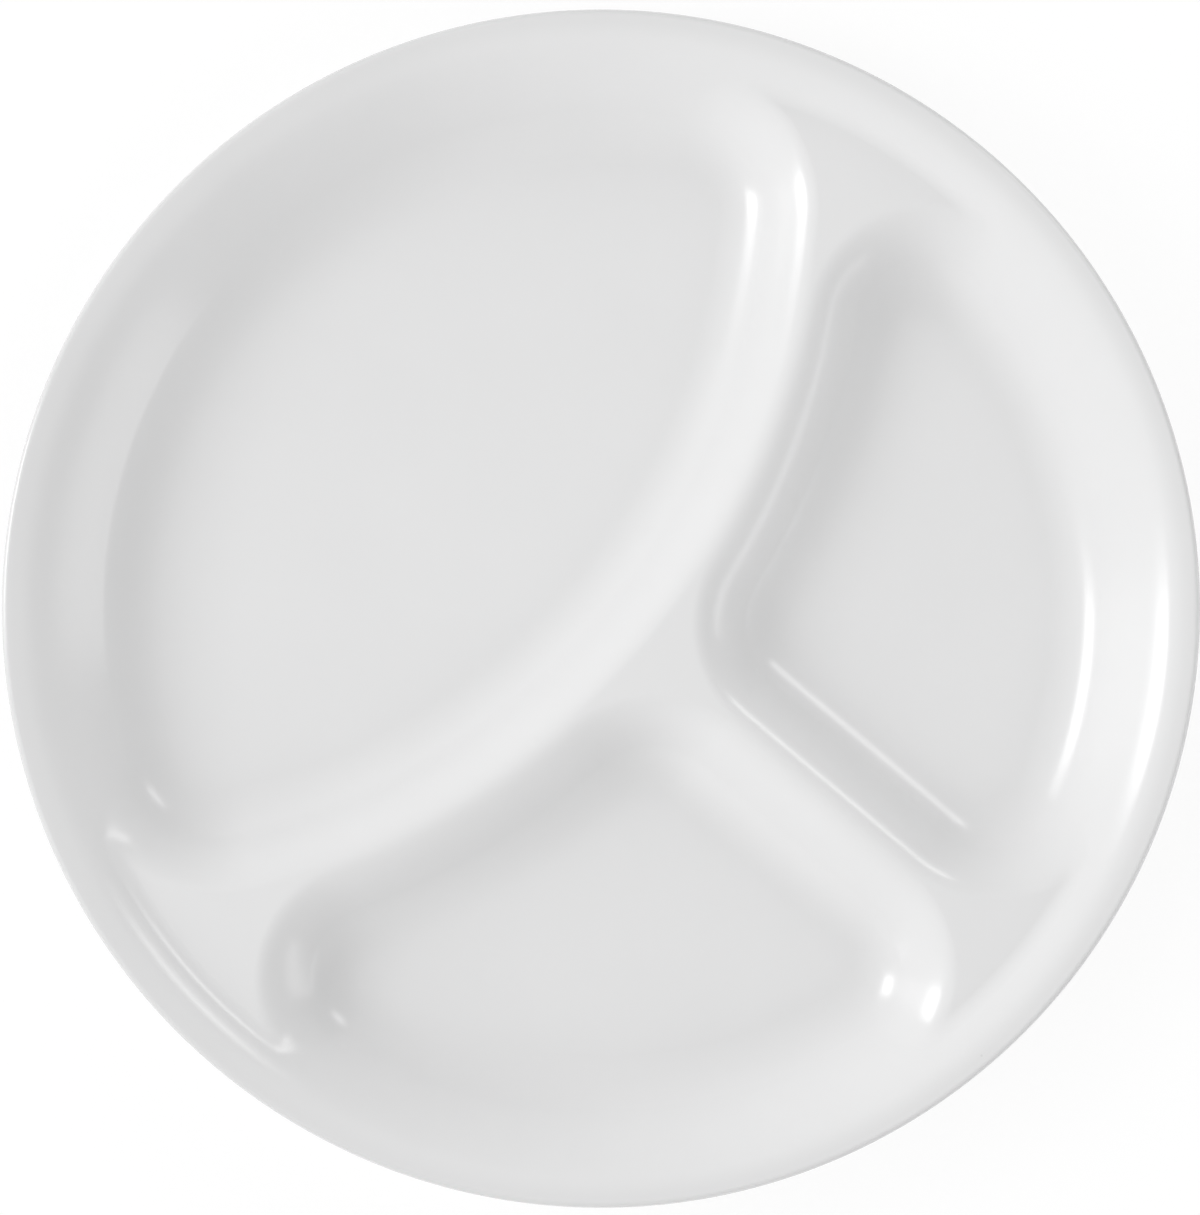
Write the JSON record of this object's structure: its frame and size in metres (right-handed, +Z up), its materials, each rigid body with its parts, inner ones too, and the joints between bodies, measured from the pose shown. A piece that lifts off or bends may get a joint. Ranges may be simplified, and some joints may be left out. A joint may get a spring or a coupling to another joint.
{
  "type": "divided plate",
  "caption": "Round shallow plate of laminated opal glass, divided by a curved and a straight ridge into one large and two small compartments.",
  "frame": {"origin": "centre of the bounding box's bottom: the plate's centre, on the plane of the three flat undersides that it rests on", "axes": "+Z up, out of the compartments. The straight divider points to -Y and the large compartment lies on the +Y side, so the plate is symmetric about X = 0."},
  "size_m": [0.26, 0.26, 0.0213],
  "materials": {
    "opal_glass": "fire-polished gloss, opaque white",
    "clear_skin_upper": "fire-polished gloss, clear",
    "clear_skin_lower": "fire-polished gloss, clear"
  },
  "bodies": {
    "root": {"opal_core": "opal_glass", "upper_skin": "clear_skin_upper", "lower_skin": "clear_skin_lower"}
  },
  "joints": []
}
